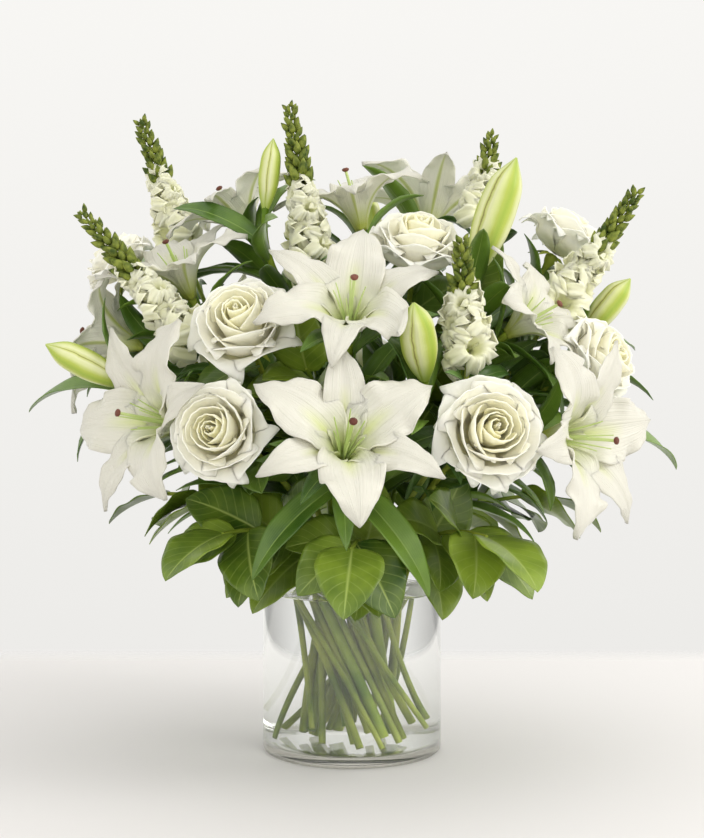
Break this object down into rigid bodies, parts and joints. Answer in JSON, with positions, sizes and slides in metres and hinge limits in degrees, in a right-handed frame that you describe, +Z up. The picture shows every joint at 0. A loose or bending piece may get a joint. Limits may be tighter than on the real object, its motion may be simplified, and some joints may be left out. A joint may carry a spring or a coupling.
{
  "type": "lilies in a vase",
  "caption": "Round bouquet of white lilies, cream roses, white snapdragons and broad green leaves in a clear glass cylinder of water.",
  "frame": {"origin": "middle of the vase's flat underside", "axes": "+Z up along the vase's axis; -Y towards the front of the bouquet; +X to the right as seen from the front"},
  "size_m": [0.554, 0.4751, 0.552],
  "materials": {
    "glass": "clear, polished",
    "water": "clear, still",
    "lily_green": "satin, living green",
    "lily_white": "satin, faintly ribbed",
    "rose_green": "matt, living green",
    "rose_cream": "velvety",
    "snapdragon_green": "matt, living green",
    "snapdragon_white": "velvety, ruffled",
    "salal_green": "waxy, living green"
  },
  "bodies": {
    "root": {"vase": "glass", "water": "water", "lily_stem_front": "lily_green", "lily_stem_left": "lily_green", "lily_stem_right": "lily_green", "lily_stem_top": "lily_green", "lily_stem_back": "lily_green", "lily_1": "lily_white", "lily_2": "lily_white", "lily_3": "lily_white", "lily_4": "lily_white", "lily_5": "lily_white", "lily_6": "lily_white", "lily_7": "lily_white", "lily_8": "lily_white", "lily_9": "lily_white", "lily_10": "lily_white", "lily_11": "lily_white", "lily_12": "lily_white", "rose_stem_1": "rose_green", "rose_stem_2": "rose_green", "rose_stem_3": "rose_green", "rose_stem_4": "rose_green", "rose_stem_5": "rose_green", "rose_stem_6": "rose_green", "rose_stem_7": "rose_green", "rose_stem_8": "rose_green", "rose_stem_9": "rose_green", "rose_1": "rose_cream", "rose_2": "rose_cream", "rose_3": "rose_cream", "rose_4": "rose_cream", "rose_5": "rose_cream", "rose_6": "rose_cream", "rose_7": "rose_cream", "rose_8": "rose_cream", "rose_9": "rose_cream", "snapdragon_stem_1": "snapdragon_green", "snapdragon_stem_2": "snapdragon_green", "snapdragon_stem_3": "snapdragon_green", "snapdragon_stem_4": "snapdragon_green", "snapdragon_stem_5": "snapdragon_green", "snapdragon_stem_6": "snapdragon_green", "snapdragon_stem_7": "snapdragon_green", "snapdragon_1": "snapdragon_white", "snapdragon_2": "snapdragon_white", "snapdragon_3": "snapdragon_white", "snapdragon_4": "snapdragon_white", "snapdragon_5": "snapdragon_white", "snapdragon_6": "snapdragon_white", "snapdragon_7": "snapdragon_white", "salal_1": "salal_green", "salal_2": "salal_green", "salal_3": "salal_green", "salal_4": "salal_green", "salal_5": "salal_green", "salal_6": "salal_green", "salal_7": "salal_green", "salal_8": "salal_green", "salal_9": "salal_green"}
  },
  "joints": []
}
